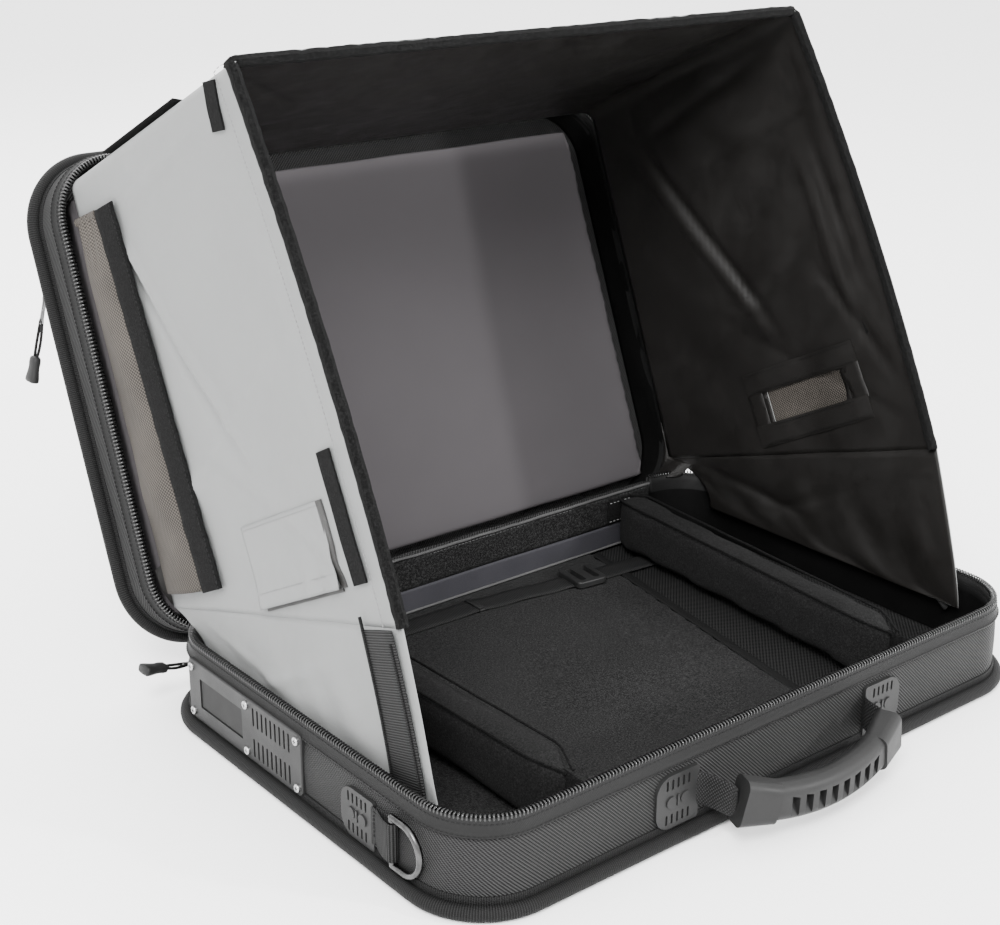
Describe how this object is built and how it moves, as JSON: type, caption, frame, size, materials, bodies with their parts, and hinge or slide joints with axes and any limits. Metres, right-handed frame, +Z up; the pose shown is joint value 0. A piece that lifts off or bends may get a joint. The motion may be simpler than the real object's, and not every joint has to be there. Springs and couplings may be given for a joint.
{
  "type": "laptop case with sun hood",
  "caption": "Soft zip-round laptop case, open, whose leaning lid holds a fabric sun hood over a padded bay with sliding dividers, a carrying handle and strap rings.",
  "frame": {"origin": "centre of the base's footprint, on the surface it stands on", "axes": "+X to the user's right along the front edge, +Y towards the hinge, +Z up"},
  "size_m": [0.5046, 0.5205, 0.4266],
  "materials": {
    "nylon_black": "coarse twill weave",
    "binding_black": "ribbed woven tape",
    "zip_tape_black": "fine herringbone tape",
    "zip_coil_black": "satin nylon coil",
    "lining_black": "smooth woven lining",
    "loop_black": "napped loop pile",
    "mesh_black": "open knitted mesh",
    "webbing_black": "ribbed webbing",
    "plastic_black": "satin moulded",
    "card_dark": "satin",
    "screw_steel": "bright",
    "ring_steel": "dark plated",
    "slider_metal": "dark plated",
    "rubber_black": "satin rubber",
    "divider_black": "brushed loop fabric over foam",
    "hook_black": "hook tape",
    "piping_grey": "piped edge",
    "panel_grey": "fine brushed fabric",
    "gusset_taupe": "coarse woven polyester",
    "hood_silver": "silver coated outside, black satin inside",
    "satin_black": "satin"
  },
  "bodies": {
    "base": {"base_shell": "nylon_black", "base_bumper": "binding_black", "base_zip_tape": "zip_tape_black", "base_zip_coil": "zip_coil_black", "base_lining": "lining_black", "hinge_panel": "lining_black", "floor_board": "loop_black", "rear_loop_band": "loop_black", "mesh_pocket": "mesh_black", "floor_strap": "webbing_black", "dring_webbing_left": "webbing_black", "dring_webbing_right": "webbing_black", "skirt_bands": "webbing_black", "strap_buckle": "plastic_black", "id_plate": "plastic_black", "dring_plate_left": "plastic_black", "dring_plate_right": "plastic_black", "handle_plate_left": "plastic_black", "handle_plate_right": "plastic_black", "id_card": "card_dark", "id_plate_screws": "screw_steel", "zip_slider_left": "slider_metal", "zip_slider_right": "slider_metal", "rear_piping": "piping_grey", "rear_lining_strip": "panel_grey", "hood_skirt_left": "hood_silver", "hood_skirt_right": "hood_silver"},
    "lid": {"lid_shell": "nylon_black", "lid_bumper": "binding_black", "lid_zip_tape": "zip_tape_black", "lid_zip_coil": "zip_coil_black", "lid_lining": "lining_black", "lid_inner_panel": "panel_grey", "lid_pocket_panel": "nylon_black", "pocket_zip": "zip_coil_black", "hood_side_left": "hood_silver", "hood_side_right": "hood_silver", "hood_top": "hood_silver", "hood_binding": "binding_black", "hood_hook_strips": "hook_black", "port_frame_left": "satin_black", "port_frame_right": "satin_black", "lid_gusset_left": "gusset_taupe", "lid_gusset_right": "gusset_taupe", "gusset_hooks": "hook_black"},
    "handle": {"handle_grip": "rubber_black", "handle_webbing_left": "webbing_black", "handle_webbing_right": "webbing_black"},
    "ring_left": {"d_ring_left": "ring_steel"},
    "ring_right": {"d_ring_right": "ring_steel"},
    "divider_bar_left": {"divider_left": "divider_black", "divider_tabs_left": "hook_black"},
    "divider_bar_right": {"divider_right": "divider_black", "divider_tabs_right": "hook_black"},
    "main_pull_left": {"zip_pull_left": "rubber_black"},
    "main_pull_right": {"zip_pull_right": "rubber_black"},
    "slider_on_pocket": {"pocket_slider": "slider_metal"},
    "pull_on_pocket": {"pocket_pull": "rubber_black"},
    "flap_left": {"port_flap_left": "hood_silver"},
    "flap_right": {"port_flap_right": "hood_silver"}
  },
  "joints": [
    {"name": "lid_hinge", "type": "hinge", "parent": "base", "child": "lid", "pos_m": [0, 0.1527, 0.0532], "axis": [1, 0, 0], "range_deg": [0, 111.5], "deforming": ["hood_side_left", "hood_side_right", "hood_top", "hood_binding", "hood_hook_strips", "port_frame_left", "port_frame_right", "port_flap_left", "port_flap_right", "lid_gusset_left", "lid_gusset_right", "gusset_hooks", "hood_skirt_left", "hood_skirt_right", "skirt_bands", "hinge_panel"]},
    {"name": "handle_swing", "type": "hinge", "parent": "base", "child": "handle", "pos_m": [0, -0.1602, 0.029], "axis": [-1, 0, 0], "range_deg": [-12, 40], "deforming": ["handle_webbing_left", "handle_webbing_right"]},
    {"name": "ring_left_swing", "type": "hinge", "parent": "base", "child": "ring_left", "pos_m": [-0.2392, -0.097, 0.0285], "axis": [0, 0, -1], "range_deg": [0, 130]},
    {"name": "ring_right_swing", "type": "hinge", "parent": "base", "child": "ring_right", "pos_m": [0.2392, -0.097, 0.0285], "axis": [0, 0, 1], "range_deg": [0, 130]},
    {"name": "divider_left_slide", "type": "slide", "parent": "base", "child": "divider_bar_left", "axis": [1, 0, 0], "range_m": [-0.03, 0.03]},
    {"name": "divider_right_slide", "type": "slide", "parent": "base", "child": "divider_bar_right", "axis": [1, 0, 0], "range_m": [-0.03, 0.03]},
    {"name": "main_pull_left_swing", "type": "hinge", "parent": "base", "child": "main_pull_left", "pos_m": [-0.2105, 0.168, 0.02], "axis": [0, 1, 0], "range_deg": [-22, 12]},
    {"name": "main_pull_right_swing", "type": "hinge", "parent": "base", "child": "main_pull_right", "pos_m": [0.2105, 0.168, 0.02], "axis": [0, -1, 0], "range_deg": [-22, 12]},
    {"name": "pocket_slider_travel", "type": "slide", "parent": "lid", "child": "slider_on_pocket", "axis": [0, 0.3665, 0.9304], "range_m": [-0.14, 0.02]},
    {"name": "pocket_pull_swing", "type": "hinge", "parent": "slider_on_pocket", "child": "pull_on_pocket", "pos_m": [-0.2355, 0.29333, 0.24836], "axis": [1, 0, 0], "range_deg": [-15, 60]},
    {"name": "port_flap_left_lift", "type": "hinge", "parent": "lid", "child": "flap_left", "pos_m": [-0.2246, 0.0325, 0.17269], "axis": [0, 0.8878, -0.4602], "range_deg": [0, 120]},
    {"name": "port_flap_right_lift", "type": "hinge", "parent": "lid", "child": "flap_right", "pos_m": [0.2246, 0.0325, 0.17269], "axis": [0, -0.8878, 0.4602], "range_deg": [0, 120]}
  ]
}
